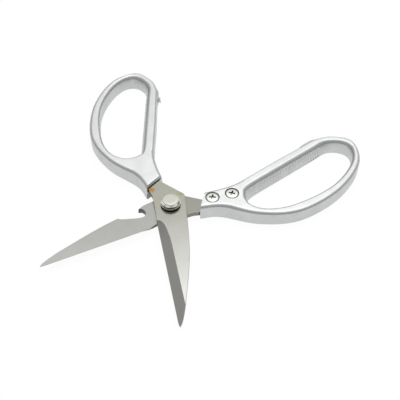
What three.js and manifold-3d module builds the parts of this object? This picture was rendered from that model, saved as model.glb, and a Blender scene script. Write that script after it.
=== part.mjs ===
import * as THREE from "three";
import { mergeVertices } from "three/addons/utils/BufferGeometryUtils.js";
import Module from "manifold-3d";

const wasm = await Module();
wasm.setup();

// Kitchen scissors: two steel blades screwed into two equal cast handles and joined by one pivot.
// A half is drawn closed, in millimetres: x runs from the pivot axis to the tip, y to the half's own
// handle, and z = 0 is the plane in which the blades meet. The upper half is the lower half turned over.

// Rest pose and general fits
const OPENING = 63;
const BLADE_GAP = 0.1;
const TANG_FIT = 0.25;
const SCREW_FIT = 0.2;
const SEAT_GAP = 0.08;
const ROUND_STEPS = 28;

// Blade
const BLADE_THICKNESS = 2.8;
const BLADE_LENGTH = 82.3;
const EDGE_THICKNESS = 0.3;
const EDGE_BEVEL_WIDTH = 5.2;
const BACK_OFFSET = 8.9;
const HEEL_X = 11.5;
const HEEL_Y = 8.9;
const HEEL_STEP = 0.5;
const RUN_OUT_BEND = [12.6, 2.9];
const RUN_OUT_END = [41.5, -0.2];
const EDGE_POINTS = [
  [64.5, 2.85],
  [46, 4.8],
  [28, 6.7],
];
const BACK_POINTS = [
  [29, -8.4],
  [47, -7.15],
  [62, -5.2],
];
const DROP_POINT = [71, -3.35];
const TIP_OFFSET = 0.9;
const SHOULDER = [-7.8, -8.1];

// Tang inside the handle
const TANG_END_X = -36.6;
const TANG_END_LOW = 9.4;
const TANG_END_HIGH = 17;
const TANG_LOW = [-23.5, 6.6];
const TANG_HIGH = [-20, 14.2];
const TANG_MOUTH_LOW = [-19.4, 5];
const TANG_MOUTH_HIGH = [-11.7, 11.7];

// Bottle-opener notch in the back of the lower blade
const NOTCH_HOOK = [16, -9.2];
const NOTCH_THROAT = [13.7, -4.2];
const NOTCH_ROOT = [16.6, -2.1];
const NOTCH_CORNER = [30.9, -8.9];

// Handle casting
const HANDLE_THICKNESS = 10;
const HANDLE_ROUND = 2;
const HANDLE_ROUND_STEPS = 3;
const CURVE_STEPS = 7;
const NECK_END_DISTANCE = 17.6;
const NECK_CORNER = [-12.5, 13.9];
const PAD_Y = 0.95;
const BOW_POINTS = [
  [-22.1, 18.5],
  [-38.4, 35.1],
  [-60, 45],
  [-89, 43.8],
  [-113.3, 32.7],
  [-121.5, 17.8],
  [-112, 5.2],
  [-99, PAD_Y],
  [-91, 1.9],
];
const BAR_END = [-52, 6.7];
const BAR_NECK_POINTS = [
  [-40, 7.3],
  [-30, 5.8],
  [-21, 3.9],
];
const LOOP_BAR_FAR = [-98, 8.9];
const LOOP_BAR_NEAR = [-49, 13.9];
const LOOP_POINTS = [
  [-42.4, 16.6],
  [-38.8, 25],
  [-45, 33.9],
  [-60, 38.9],
  [-86, 38.7],
  [-107.5, 29.5],
  [-115.2, 18],
  [-105.5, 9.1],
];

// Finger grip grooves in the loop side of the bar
const GROOVE_COUNT = 24;
const GROOVE_RADIUS = 0.7;
const GROOVE_DEPTH = 0.4;

// Tang screws
const SCREW_POSITIONS = { front: [-22.2, 9.9], rear: [-33.5, 13.3] };
const SCREW_DIAMETER = 4;
const SCREW_HEAD_DIAMETER = 7.3;
const SCREW_HEAD_HEIGHT = 2.4;
const SCREW_RECESS_SPAN = 4.2;
const SCREW_RECESS_WIDTH = 1.1;
const SCREW_RECESS_DEPTH = 1.4;
const COUNTERBORE_DIAMETER = 8.4;
const COUNTERBORE_DEPTH = 2.7;

// Pivot
const SLEEVE_DIAMETER = 6.4;
const PIVOT_FIT = 0.2;
const PIVOT_THREAD = 4;
const BUTTON_DIAMETER = 9.5;
const BUTTON_HEIGHT = 2.5;
const BUTTON_BEVEL = 0.6;
const WASHER_DIAMETER = 12.2;
const WASHER_THICKNESS = 0.8;
const SPRING_WASHER_DIAMETER = 10.8;
const SPRING_WASHER_SHEET = 0.5;
const SPRING_WASHER_HEIGHT = 0.9;
const REAR_WASHER_DIAMETER = 13;
const REAR_WASHER_THICKNESS = 0.8;
const FLANGE_DIAMETER = 11.4;
const FLANGE_BEVEL = 0.3;
const NUT_FLOOR = 1.6;
const SPANNER_HOLE_DIAMETER = 1.6;
const SPANNER_HOLE_SPACING = 7;
const SPANNER_HOLE_DEPTH = 0.8;

// Stop bumpers
const BUMPER_X = -97.2;
const BUMPER_DIAMETER = 4.2;
const BUMPER_STEM_DIAMETER = 2.4;
const BUMPER_STEM_LENGTH = 2.5;
const BUMPER_MEETING_GAP = 0.1;

// Heights that follow from the sizes above
const HALF_HANDLE = HANDLE_THICKNESS / 2;
const BLADE_FLAT = -BLADE_GAP / 2;
const BLADE_BACK = BLADE_FLAT - BLADE_THICKNESS;
const SPRING_WASHER_Z = -BLADE_BACK + SEAT_GAP;
const WASHER_Z = SPRING_WASHER_Z + SPRING_WASHER_HEIGHT + SEAT_GAP;
const BUTTON_Z = WASHER_Z + WASHER_THICKNESS + SEAT_GAP;
const REAR_WASHER_Z = BLADE_BACK - SEAT_GAP - REAR_WASHER_THICKNESS;
const FLANGE_TOP = REAR_WASHER_Z - SEAT_GAP;

function solidOf(geometry) {
  geometry.deleteAttribute("normal");
  geometry.deleteAttribute("uv");
  const merged = mergeVertices(geometry, 1e-4);
  const mesh = new wasm.Mesh({
    numProp: 3,
    vertProperties: merged.attributes.position.array,
    triVerts: new Uint32Array(merged.index.array),
  });
  return new wasm.Manifold(mesh);
}

function vectors(points) {
  return points.map(([x, y]) => new THREE.Vector2(x, y));
}

function plate(shape, bottom, top) {
  const geometry = new THREE.ExtrudeGeometry(shape, {
    depth: top - bottom,
    bevelEnabled: false,
    curveSegments: CURVE_STEPS,
  });
  return solidOf(geometry.translate(0, 0, bottom));
}

function turned(profile) {
  const geometry = new THREE.LatheGeometry(vectors(profile), ROUND_STEPS);
  return solidOf(geometry.rotateX(Math.PI / 2));
}

function pin(diameter, bottom, top, steps = ROUND_STEPS) {
  const geometry = new THREE.CylinderGeometry(diameter / 2, diameter / 2, top - bottom, steps);
  geometry.rotateX(Math.PI / 2);
  return solidOf(geometry.translate(0, 0, (bottom + top) / 2));
}

function box(width, length, height) {
  return solidOf(new THREE.BoxGeometry(width, length, height));
}

function ring(outerDiameter, innerDiameter, bottom, top) {
  const outer = outerDiameter / 2;
  const inner = innerDiameter / 2;
  return turned([
    [inner, bottom],
    [outer, bottom],
    [outer, top],
    [inner, top],
    [inner, bottom],
  ]);
}

// Blade outline with its tang, seen from above. The tips meet a little off the handles' centre line.
function bladeOutline(tipY) {
  const canted = (points) => vectors(points.map(([x, y]) => [x, y + (tipY * x) / BLADE_LENGTH]));
  const shape = new THREE.Shape();
  shape.moveTo(BLADE_LENGTH, tipY);
  shape.splineThru([...canted(EDGE_POINTS), new THREE.Vector2(HEEL_X, HEEL_Y - HEEL_STEP)]);
  shape.lineTo(HEEL_X, HEEL_Y);
  shape.splineThru(vectors([[0, 9.7], [-6, 9.8], TANG_MOUTH_HIGH]));
  shape.lineTo(...TANG_HIGH);
  shape.lineTo(TANG_END_X, TANG_END_HIGH);
  shape.lineTo(TANG_END_X, TANG_END_LOW);
  shape.lineTo(...TANG_LOW);
  shape.lineTo(...TANG_MOUTH_LOW);
  shape.lineTo(...SHOULDER);
  shape.quadraticCurveTo(-6.8, -BACK_OFFSET, -4, -BACK_OFFSET);
  shape.lineTo(14, -BACK_OFFSET);
  shape.splineThru(canted([...BACK_POINTS, DROP_POINT]));
  return shape;
}

// Region of the blade that the grinding wheel reaches, with the curved run-out at the heel.
function grindOutline() {
  const shape = new THREE.Shape();
  shape.moveTo(HEEL_X, HEEL_Y + 3);
  shape.lineTo(HEEL_X, HEEL_Y - HEEL_STEP);
  shape.quadraticCurveTo(...RUN_OUT_BEND, ...RUN_OUT_END);
  shape.lineTo(RUN_OUT_END[0], -BACK_OFFSET - 3);
  shape.lineTo(BLADE_LENGTH + 3, -BACK_OFFSET - 3);
  shape.lineTo(BLADE_LENGTH + 3, HEEL_Y + 3);
  return shape;
}

function ground(blank, tipY) {
  const heel = new THREE.Vector3(HEEL_X, HEEL_Y - HEEL_STEP, BLADE_FLAT - EDGE_THICKNESS);
  const tip = new THREE.Vector3(BLADE_LENGTH, tipY, BLADE_FLAT - EDGE_THICKNESS);
  const along = tip.clone().sub(heel).normalize();
  const rise = BLADE_THICKNESS - EDGE_THICKNESS;
  const across = new THREE.Vector3(along.y, -along.x, 0).multiplyScalar(EDGE_BEVEL_WIDTH);
  const slope = across.setZ(-rise).normalize();
  const normal = new THREE.Vector3().crossVectors(along, slope).normalize();
  if (normal.z > 0) normal.negate();
  const wheel = plate(grindOutline(), BLADE_BACK - 1, BLADE_FLAT + 1);
  const removed = wheel.trimByPlane(normal.toArray(), normal.dot(heel));
  return blank.subtract(removed);
}

function blade(tipY) {
  let solid = ground(plate(bladeOutline(tipY), BLADE_BACK, BLADE_FLAT), tipY);
  solid = solid.subtract(pin(SLEEVE_DIAMETER + 2 * PIVOT_FIT, BLADE_BACK - 1, BLADE_FLAT + 1));
  for (const [x, y] of Object.values(SCREW_POSITIONS)) {
    const hole = pin(SCREW_DIAMETER + 2 * SCREW_FIT, BLADE_BACK - 1, BLADE_FLAT + 1, 16);
    solid = solid.subtract(hole.translate([x, y, 0]));
  }
  return solid;
}

function openerNotch() {
  const shape = new THREE.Shape();
  shape.moveTo(...NOTCH_HOOK);
  shape.quadraticCurveTo(13.8, -6.6, ...NOTCH_THROAT);
  shape.quadraticCurveTo(13.9, -2, ...NOTCH_ROOT);
  shape.quadraticCurveTo(23, -3.2, ...NOTCH_CORNER);
  shape.lineTo(NOTCH_CORNER[0], -BACK_OFFSET - 3);
  shape.lineTo(NOTCH_HOOK[0], -BACK_OFFSET - 3);
  return plate(shape, BLADE_BACK - 1, BLADE_FLAT + 1);
}

function handleOutline() {
  const shape = new THREE.Shape();
  shape.moveTo(-4, 10.4);
  shape.lineTo(...NECK_CORNER);
  shape.splineThru(vectors(BOW_POINTS));
  shape.lineTo(...BAR_END);
  shape.splineThru(vectors(BAR_NECK_POINTS));
  shape.lineTo(-12, 2);
  const loop = new THREE.Path();
  loop.moveTo(...LOOP_BAR_FAR);
  loop.lineTo(...LOOP_BAR_NEAR);
  loop.splineThru(vectors([...LOOP_POINTS, LOOP_BAR_FAR]));
  shape.holes.push(loop);
  return shape;
}

// Room for the tang, open at the end of the neck.
function tangSlot() {
  const c = TANG_FIT;
  const corners = [
    [TANG_END_X - c, TANG_END_HIGH + c],
    [TANG_END_X - c, TANG_END_LOW - c],
    [TANG_LOW[0], TANG_LOW[1] - c],
    [TANG_MOUTH_LOW[0] - c, TANG_MOUTH_LOW[1] - c],
    [-15, 0.2],
    [-4, 9],
    [TANG_MOUTH_HIGH[0], TANG_MOUTH_HIGH[1] + c * 1.4],
    [TANG_HIGH[0], TANG_HIGH[1] + c],
  ];
  return plate(new THREE.Shape(vectors(corners)), BLADE_BACK - c, BLADE_FLAT + c);
}

function gripGrooves() {
  const far = new THREE.Vector2(...LOOP_BAR_FAR);
  const near = new THREE.Vector2(...LOOP_BAR_NEAR);
  const along = near.clone().sub(far);
  const inward = new THREE.Vector2(-along.y, along.x).normalize();
  const reach = HALF_HANDLE - HANDLE_ROUND;
  const grooves = [];
  for (let i = 0; i < GROOVE_COUNT; i++) {
    const at = far.clone().addScaledVector(along, (i + 0.5) / GROOVE_COUNT);
    at.addScaledVector(inward, GROOVE_RADIUS - GROOVE_DEPTH);
    const groove = pin(2 * GROOVE_RADIUS, -reach, reach, 8);
    grooves.push(groove.translate([at.x, at.y, 0]));
  }
  return wasm.Manifold.union(grooves);
}

function bumper() {
  const pad = PAD_Y - 2 * SEAT_GAP;
  const profile = [
    [0, pad + BUMPER_STEM_LENGTH],
    [BUMPER_STEM_DIAMETER / 2, pad + BUMPER_STEM_LENGTH],
    [BUMPER_STEM_DIAMETER / 2, pad],
    [BUMPER_DIAMETER / 2, pad],
    [BUMPER_DIAMETER / 2, BUMPER_MEETING_GAP + 0.35],
    [BUMPER_DIAMETER / 2 - 0.35, BUMPER_MEETING_GAP],
    [0, BUMPER_MEETING_GAP],
  ];
  const geometry = new THREE.LatheGeometry(vectors(profile.reverse()), 20);
  return solidOf(geometry.translate(BUMPER_X, 0, 0));
}

function handle() {
  const geometry = new THREE.ExtrudeGeometry(handleOutline(), {
    depth: HANDLE_THICKNESS - 2 * HANDLE_ROUND,
    bevelEnabled: true,
    bevelThickness: HANDLE_ROUND,
    bevelSize: HANDLE_ROUND,
    bevelOffset: -HANDLE_ROUND,
    bevelSegments: HANDLE_ROUND_STEPS,
    curveSegments: CURVE_STEPS,
  });
  let solid = solidOf(geometry.translate(0, 0, HANDLE_ROUND - HALF_HANDLE));
  solid = solid.trimByPlane([-Math.SQRT1_2, Math.SQRT1_2, 0], NECK_END_DISTANCE);
  solid = solid.subtract(tangSlot());
  for (const [x, y] of Object.values(SCREW_POSITIONS)) {
    const bore = pin(COUNTERBORE_DIAMETER, HALF_HANDLE - COUNTERBORE_DEPTH, HALF_HANDLE + 1);
    const hole = pin(SCREW_DIAMETER + 2 * SCREW_FIT, BLADE_BACK, HALF_HANDLE, 16);
    solid = solid.subtract(bore.add(hole).translate([x, y, 0]));
  }
  const socket = new THREE.CylinderGeometry(
    BUMPER_STEM_DIAMETER / 2 + SCREW_FIT,
    BUMPER_STEM_DIAMETER / 2 + SCREW_FIT,
    2 * (BUMPER_STEM_LENGTH + PAD_Y + SCREW_FIT),
    20,
  );
  solid = solid.subtract(solidOf(socket.translate(BUMPER_X, 0, 0)));
  return solid.subtract(gripGrooves());
}

function tangScrew() {
  const seat = HALF_HANDLE - COUNTERBORE_DEPTH + SEAT_GAP;
  const crown = seat + SCREW_HEAD_HEIGHT;
  const head = SCREW_HEAD_DIAMETER / 2;
  const shank = SCREW_DIAMETER / 2;
  const solid = turned([
    [0, BLADE_BACK],
    [shank - 0.4, BLADE_BACK],
    [shank, BLADE_BACK + 0.4],
    [shank, seat],
    [head, seat],
    [head, crown - 1.1],
    [head * 0.88, crown - 0.5],
    [head * 0.62, crown - 0.12],
    [0, crown],
  ]);
  const arm = box(SCREW_RECESS_SPAN, SCREW_RECESS_WIDTH, 2 * SCREW_RECESS_DEPTH);
  const cross = arm.add(arm.rotate([0, 0, 90])).rotate([0, 0, 20]);
  return solid.subtract(cross.translate([0, 0, crown]));
}

function buttonScrew() {
  const crown = BUTTON_Z + BUTTON_HEIGHT;
  const rim = BUTTON_DIAMETER / 2;
  const shank = PIVOT_THREAD / 2;
  const end = -HALF_HANDLE + NUT_FLOOR + PIVOT_FIT;
  return turned([
    [0, end],
    [shank, end],
    [shank, BUTTON_Z],
    [rim, BUTTON_Z],
    [rim, crown - BUTTON_BEVEL],
    [rim - BUTTON_BEVEL, crown],
    [0, crown],
  ]);
}

function barrelNut() {
  const flange = FLANGE_DIAMETER / 2;
  const sleeve = SLEEVE_DIAMETER / 2;
  const bore = PIVOT_THREAD / 2 + PIVOT_FIT;
  const top = BUTTON_Z - SEAT_GAP;
  let solid = turned([
    [0, -HALF_HANDLE],
    [flange - FLANGE_BEVEL, -HALF_HANDLE],
    [flange, -HALF_HANDLE + FLANGE_BEVEL],
    [flange, FLANGE_TOP],
    [sleeve, FLANGE_TOP],
    [sleeve, top],
    [bore, top],
    [bore, -HALF_HANDLE + NUT_FLOOR],
    [0, -HALF_HANDLE + NUT_FLOOR],
  ]);
  for (const side of [-1, 1]) {
    const hole = pin(SPANNER_HOLE_DIAMETER, -HALF_HANDLE - 1, -HALF_HANDLE + SPANNER_HOLE_DEPTH, 12);
    solid = solid.subtract(hole.translate([(side * SPANNER_HOLE_SPACING) / 2, 0, 0]));
  }
  return solid;
}

function springWasher() {
  const outer = SPRING_WASHER_DIAMETER / 2;
  const inner = SLEEVE_DIAMETER / 2 + PIVOT_FIT;
  const top = SPRING_WASHER_Z + SPRING_WASHER_HEIGHT;
  return turned([
    [inner, top - SPRING_WASHER_SHEET],
    [outer, SPRING_WASHER_Z],
    [outer, SPRING_WASHER_Z + SPRING_WASHER_SHEET],
    [inner, top],
    [inner, top - SPRING_WASHER_SHEET],
  ]);
}

function add(group, name, solid, color, roughness, metalness) {
  const data = solid.getMesh();
  const geometry = new THREE.BufferGeometry();
  geometry.setAttribute("position", new THREE.BufferAttribute(data.vertProperties, 3));
  geometry.setIndex(new THREE.BufferAttribute(data.triVerts, 1));
  geometry.computeVertexNormals();
  const mesh = new THREE.Mesh(geometry, new THREE.MeshStandardMaterial({ color, roughness, metalness }));
  mesh.name = name;
  group.add(mesh);
}

function addHalf(group, prefix, bladeSolid) {
  add(group, `${prefix}_blade`, bladeSolid, 0xb8b6af, 0.32, 1);
  add(group, `${prefix}_handle`, handle(), 0xd6d8da, 0.45, 1);
  for (const [place, [x, y]] of Object.entries(SCREW_POSITIONS)) {
    add(group, `${prefix}_handle_screw_${place}`, tangScrew().translate([x, y, 0]), 0xc9c9c6, 0.25, 1);
  }
  add(group, `${prefix}_stop_bumper`, bumper(), 0xdfe0dc, 0.5, 0);
}

const washerBore = SLEEVE_DIAMETER + 2 * PIVOT_FIT;
const halfAngle = THREE.MathUtils.degToRad(OPENING / 2);

const lowerHalf = new THREE.Group();
lowerHalf.rotation.z = -halfAngle;
addHalf(lowerHalf, "lower", blade(-TIP_OFFSET).subtract(openerNotch()));

const turnedOver = new THREE.Group();
turnedOver.rotation.x = Math.PI;
addHalf(turnedOver, "upper", blade(TIP_OFFSET));
const upperHalf = new THREE.Group();
upperHalf.rotation.z = halfAngle;
upperHalf.add(turnedOver);

const pivot = new THREE.Group();
const washer = ring(WASHER_DIAMETER, washerBore, WASHER_Z, WASHER_Z + WASHER_THICKNESS);
const rearWasher = ring(REAR_WASHER_DIAMETER, washerBore, REAR_WASHER_Z, REAR_WASHER_Z + REAR_WASHER_THICKNESS);
add(pivot, "pivot_button_screw", buttonScrew(), 0xd2d0c6, 0.2, 1);
add(pivot, "pivot_washer", washer, 0xc8c7c1, 0.25, 1);
add(pivot, "pivot_spring_washer", springWasher(), 0x33322e, 0.5, 1);
add(pivot, "pivot_rear_washer", rearWasher, 0xc8c7c1, 0.25, 1);
add(pivot, "pivot_barrel_nut", barrelNut(), 0xcdccc4, 0.25, 1);

const scissors = new THREE.Group();
scissors.name = "kitchen_scissors";
scissors.add(lowerHalf, upperHalf, pivot);
for (const group of scissors.children) {
  group.position.z = HALF_HANDLE;
}

export default scissors;
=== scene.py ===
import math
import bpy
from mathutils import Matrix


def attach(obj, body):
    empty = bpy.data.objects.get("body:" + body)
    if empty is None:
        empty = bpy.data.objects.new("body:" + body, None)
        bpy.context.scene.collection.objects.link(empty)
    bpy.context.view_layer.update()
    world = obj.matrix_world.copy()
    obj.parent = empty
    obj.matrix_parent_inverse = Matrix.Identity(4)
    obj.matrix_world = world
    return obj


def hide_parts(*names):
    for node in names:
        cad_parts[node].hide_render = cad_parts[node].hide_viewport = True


bl_info = {
    "name": "Kitchen scissors",
    "version": (1, 0, 0),
    "blender": (4, 5, 0),
    "location": "3D View > Sidebar > Scissors",
    "description": "Dresses a pair of cast-handled kitchen scissors and sets them on a white studio floor",
    "category": "Mesh",
}

from contextlib import contextmanager
from typing import NamedTuple

import bmesh
import bpy
import numpy as np
from mathutils import Vector

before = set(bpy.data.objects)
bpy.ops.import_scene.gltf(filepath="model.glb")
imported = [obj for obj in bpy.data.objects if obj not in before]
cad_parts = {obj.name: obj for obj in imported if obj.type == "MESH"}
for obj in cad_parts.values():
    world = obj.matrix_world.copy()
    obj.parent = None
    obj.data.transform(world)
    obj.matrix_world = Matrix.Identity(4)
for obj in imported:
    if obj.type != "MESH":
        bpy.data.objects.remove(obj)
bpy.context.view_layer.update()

MM = 0.001
TO_MM = 1000

# The half frame, in millimetres: x runs from the pivot axis to the tip, y toward the half's own handle, and
# the blades meet at z = 0, which lies MEETING_LEVEL above the floor. The upper half is turned over about x.
HALVES = ("lower", "upper")
HALF_ANGLE = math.radians(31.5)
MEETING_LEVEL = 5.0

# Blades
BLADE_FLAT = -0.05
BLADE_BACK = -2.85
BLADE_LENGTH = 83.1
TIP_SHORT = {"lower": 1.1, "upper": 0.0}
TIP_OFFSET = {"lower": -0.9, "upper": 0.9}
EDGE_LEVEL = -0.35
EDGE_Y = 9.72
EDGE_SLOPE = 0.1103
HEEL_X = 11.5
WHEEL_END_X = 30
TANG_END_X = -36.6
PIVOT_BORE = 3.4
TANG_BORE = 2.2
NOTCH_SLANT = np.array([0.675, 1.05])
# Up to this x the lower blade's heel wall takes the dark sheared finish as painted shade
SHADED_HEEL_WALL_X = 17
STATION_STEP = 0.7
SPINE_BREAK = 0.15

# Handles
BAR_FAR = (-98.0, 9.6)
BAR_NEAR = (-49.0, 14.6)
CURVE_STEP = 0.1
CURVE_SOFTNESS = 12
RIB_RADIUS = 0.7
RIB_TOP = 2.7
RIB_FADE = 0.5
BOSS_TOP = 4.2
BOSS_FADE = 1.6
BUMPER_X = -97.2
NECK_WAY = Vector((-math.sqrt(0.5), math.sqrt(0.5), 0))
LIP_WAY = Vector((-0.636, 0.636, 0.436))
# Faces of the neck's end nearer the pivot than this x take the dark sawn finish, painted shade
SHADED_END_FROM_X = -26

# Screws and pivot
SCREW_PLACES = {"front": (-22.2, 9.9), "rear": (-33.5, 13.3)}
SCREW_TURNS = {"front": math.radians(52), "rear": math.radians(42)}
SCREW_CROWN = 5.15
SCREW_RIM = 3.62
RECESS_DEPTH = 1.35
PIVOT_BODY = "lower_half"
SPANNER_REACH = 3.5

# Levels on the pivot's button, in millimetres above the floor: its lathe-faced end lies above the first, its
# painted highlight above the second and its painted shade below it
BUTTON_END = 12.1
BUTTON_CONE = 10.45

# Finishes: how the blades change along their length, where 1 is 100 mm from the pivot. The colour gain and
# the ramp along each blade are painted light: they brighten the steel toward the tip, on the upper blade
# most.
WHITE = (1, 1, 1)
# Colour gain of each blade's steel, higher on the upper blade: with the ramp below it, painted light
LIGHT_GAIN = {"upper": 1.22, "lower": 1.02}
ROOT_WARMTH = {"upper": (0.02, 0.32, 1.0), "lower": (0.0, 0.06, 0.83)}
PAINTED_TIP_LIGHT = {
    "upper": ((0.1, 0.76), (0.2, 0.81), (0.42, 0.87), (0.62, 1.0)),
    "lower": ((0.13, 0.85), (0.36, 0.87), (0.5, 0.92), (0.62, 0.97), (0.72, 1.0)),
}
# Two blots on the upper blade at its shoulders, an amber one and an olive one apart from it on the back by
# the tang: colour, centre, reach and depth
STAINS = (("stain", (-0.127, 0.106), 0.05, 1.0), ("bloom", (-0.087, -0.07), 0.05, 0.8))

# Stage: brightness of the surround at angles, in degrees, from the middle of its glow
GLOW_FADE = (
    (0, 0.75), (10, 0.68), (15, 0.56), (20, 0.42), (30, 0.265), (45, 0.17), (60, 0.13), (90, 0.1),
    (180, 0.095),
)

# The floor, in metres: a little below the scissors
FLOOR_LEVEL = -0.0002
FLOOR_HALF = 3.0


class Casting(NamedTuple):
    """What the two castings don't share, in millimetres of the half frame: the side that faces up, the
    loop's end near the neck, how far from the pivot axis the neck and its lip end, the rounding of the neck's
    end, the bumper's boss, how far the bar's wall stands into the loop, how far the loop's far corners are
    undercut, how full the crown is at the bow, and how far down the grip grooves reach."""

    up: int
    loop_near: tuple
    neck_reach: float
    lip_reach: float | None
    end_round: float
    boss_height: float
    boss_end: float
    bar_stand: float
    undercut: float
    bow_crown: float
    rib_foot: float


CASTINGS = {
    "lower": Casting(
        up=1, loop_near=((-41.7, 16.9), (-38, 24.6), (-44.6, 33.5)), neck_reach=17.6, lip_reach=None,
        end_round=0.5, boss_height=1.7, boss_end=-90, bar_stand=0.2, undercut=1.15, bow_crown=0.95,
        rib_foot=3.7,
    ),
    "upper": Casting(
        up=-1, loop_near=((-42, 16.7), (-39.2, 24.6), (-45.3, 33.8)), neck_reach=17.85, lip_reach=14.8,
        end_round=0.2, boss_height=0.9, boss_end=-94.5, bar_stand=0.45, undercut=0.9, bow_crown=0.85,
        rib_foot=9,
    ),
}


# Curves


def spline(points, steps=40):
    """Catmull-Rom curve through the points: each span is a cubic whose end slopes are half the step
    between the neighbouring points."""
    p = np.asarray(points, float)
    q = np.vstack([p[:1], p, p[-1:]])
    t = np.linspace(0, 1, steps, endpoint=False)[None, :, None]
    p0, p1, p2, p3 = (q[i : len(q) - 3 + i, None] for i in range(4))
    a = (p2 - p0) / 2
    b = (p3 - p1) / 2
    span = (2 * p1 - 2 * p2 + a + b) * t**3 + (3 * p2 - 3 * p1 - 2 * a - b) * t**2 + a * t + p1
    return np.vstack([span.reshape(-1, 2), p[-1:]])


def bend(start, control, end, steps=24):
    """Quadratic curve: the weights (1-t)^2, 2t(1-t) and t^2 of its three points."""
    t = np.linspace(0, 1, steps)[:, None]
    return (1 - t) ** 2 * np.array(start) + 2 * t * (1 - t) * np.array(control) + t**2 * np.array(end)


def even(curve, step):
    """A closed curve again, with points at equal steps of arc length."""
    ring = np.vstack([curve, curve[:1]])
    run = np.r_[0, np.cumsum(np.linalg.norm(np.diff(ring, axis=0), axis=1))]
    at = np.linspace(0, run[-1], int(run[-1] / step), endpoint=False)
    return np.column_stack([np.interp(at, run, ring[:, 0]), np.interp(at, run, ring[:, 1])])


def soften(curve, sigma):
    """A closed curve averaged along itself with a Gaussian sigma points wide."""
    wave = np.exp(-2 * (np.pi * sigma * np.fft.fftfreq(len(curve))) ** 2)
    z = np.fft.ifft(np.fft.fft(curve[:, 0] + 1j * curve[:, 1]) * wave)
    return np.column_stack([z.real, z.imag])


def outward(curve):
    """Unit normals of a closed curve that runs anticlockwise: its tangent turned a quarter to the right."""
    t = np.roll(curve, -1, 0) - np.roll(curve, 1, 0)
    n = np.column_stack([t[:, 1], -t[:, 0]])
    return n / np.linalg.norm(n, axis=1)[:, None]


def ease(t):
    """Smooth step from 0 to 1: three squares less two cubes."""
    return t * t * (3 - 2 * t)


# Meshes


def placed(points, half):
    """Half-frame points in millimetres as points of the row frame in metres: the half turns about the
    pivot by half the opening, and the upper one is first turned over about x."""
    p = np.asarray(points, float)
    c, s = math.cos(HALF_ANGLE), math.sin(HALF_ANGLE)
    flip = -1.0 if half == "upper" else 1.0
    x = p[..., 0] * c + p[..., 1] * s
    y = flip * (p[..., 1] * c - p[..., 0] * s)
    z = flip * p[..., 2] + MEETING_LEVEL
    return np.stack([x, y, z], -1) * MM


def grid_quads(rows, columns, close_rows, close_columns):
    """Corner numbers of the quads of a grid of points, which may close on itself either way."""
    i = np.arange(rows if close_rows else rows - 1)[:, None]
    j = np.arange(columns if close_columns else columns - 1)[None, :]
    i2, j2 = (i + 1) % rows, (j + 1) % columns
    corners = [i * columns + j, i2 * columns + j, i2 * columns + j2, i * columns + j2]
    return np.stack([np.broadcast_to(c, (i.size, j.size)) for c in corners], -1).reshape(-1, 4)


@contextmanager
def editing(mesh):
    """A mesh opened for editing, and put back afterwards."""
    bm = bmesh.new()
    bm.from_mesh(mesh)
    yield bm
    bm.to_mesh(mesh)
    bm.free()


def mesh_of(name, points, faces, materials=None):
    """A mesh with doubles merged, no collapsed faces and normals that point out."""
    mesh = bpy.data.meshes.new(name)
    mesh.from_pydata(points.reshape(-1, 3), [], [list(f) for f in faces])
    if materials is not None:
        mesh.polygons.foreach_set("material_index", materials)
    with editing(mesh) as bm:
        bmesh.ops.remove_doubles(bm, verts=bm.verts, dist=2e-6)
        bmesh.ops.dissolve_degenerate(bm, edges=bm.edges, dist=1e-6)
        bmesh.ops.recalc_face_normals(bm, faces=bm.faces)
    return mesh


def turned(profile, steps=96):
    """Surface of revolution in the half frame: each (radius, height) of the profile goes round z."""
    r, z = np.array(profile, float).T
    a = np.linspace(0, 2 * np.pi, steps, endpoint=False)[:, None]
    points = np.stack([r * np.cos(a), r * np.sin(a), np.broadcast_to(z, (steps, z.size))], -1)
    return points, grid_quads(steps, z.size, True, False)


def rounded(profile, radius, steps=4):
    """A profile whose inner corners are quadratic bends that start radius away from each corner."""
    p = np.array(profile, float)
    a, b, c = p[:-2], p[1:-1], p[2:]
    back = np.linalg.norm(a - b, axis=1)[:, None]
    on = np.linalg.norm(c - b, axis=1)[:, None]
    r = np.minimum(radius, 0.45 * np.minimum(back, on))
    start = b + (a - b) / back * r
    end = b + (c - b) / on * r
    t = np.linspace(0, 1, steps)[None, :, None]
    curve = (1 - t) ** 2 * start[:, None] + 2 * t * (1 - t) * b[:, None] + t**2 * end[:, None]
    return np.vstack([p[:1], curve.reshape(-1, 2), p[-1:]])


def prism(outline, bottom, top):
    """Upright prism on an outline: two rings of points, a wall of quads and two flat ends."""
    n = len(outline)
    low = np.column_stack([outline, np.full(n, bottom)])
    high = np.column_stack([outline, np.full(n, top)])
    wall = grid_quads(2, n, False, True)
    faces = [*wall.tolist(), list(range(n))[::-1], list(range(n, 2 * n))]
    return np.vstack([low, high]), faces


def moved(shape, x, y, z=0):
    """A (points, faces) shape at another place."""
    points, faces = shape
    return points + np.array([x, y, z]), faces


def at_bumper(shape):
    """A turned shape with its axis laid across the bar, at the bumper's place."""
    p, faces = shape
    return np.stack([p[..., 0] + BUMPER_X, p[..., 2], -p[..., 1]], -1), faces


def joined(shapes):
    """Several (points, faces) shapes as one list of points and one of faces."""
    points, faces, first = [], [], 0
    for p, f in shapes:
        flat = np.asarray(p).reshape(-1, 3)
        points.append(flat)
        faces += [[int(k) + first for k in face] for face in f]
        first += len(flat)
    return np.vstack(points), faces


def cut(obj, name, points, faces, crossing=False, finish=0):
    """Takes a shape away from a piece. A shape whose own parts cross each other says so. The new walls
    take the piece's finish of that number."""
    mesh = mesh_of(name, points, faces, np.full(len(faces), finish, np.int32))
    cutter = add_piece(name, mesh, obj.data.materials)
    tool = obj.modifiers.new(name, "BOOLEAN")
    tool.operation = "DIFFERENCE"
    tool.solver = "EXACT"
    tool.use_self = crossing
    tool.object = cutter
    apply_modifiers(obj)
    discard(cutter)


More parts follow.
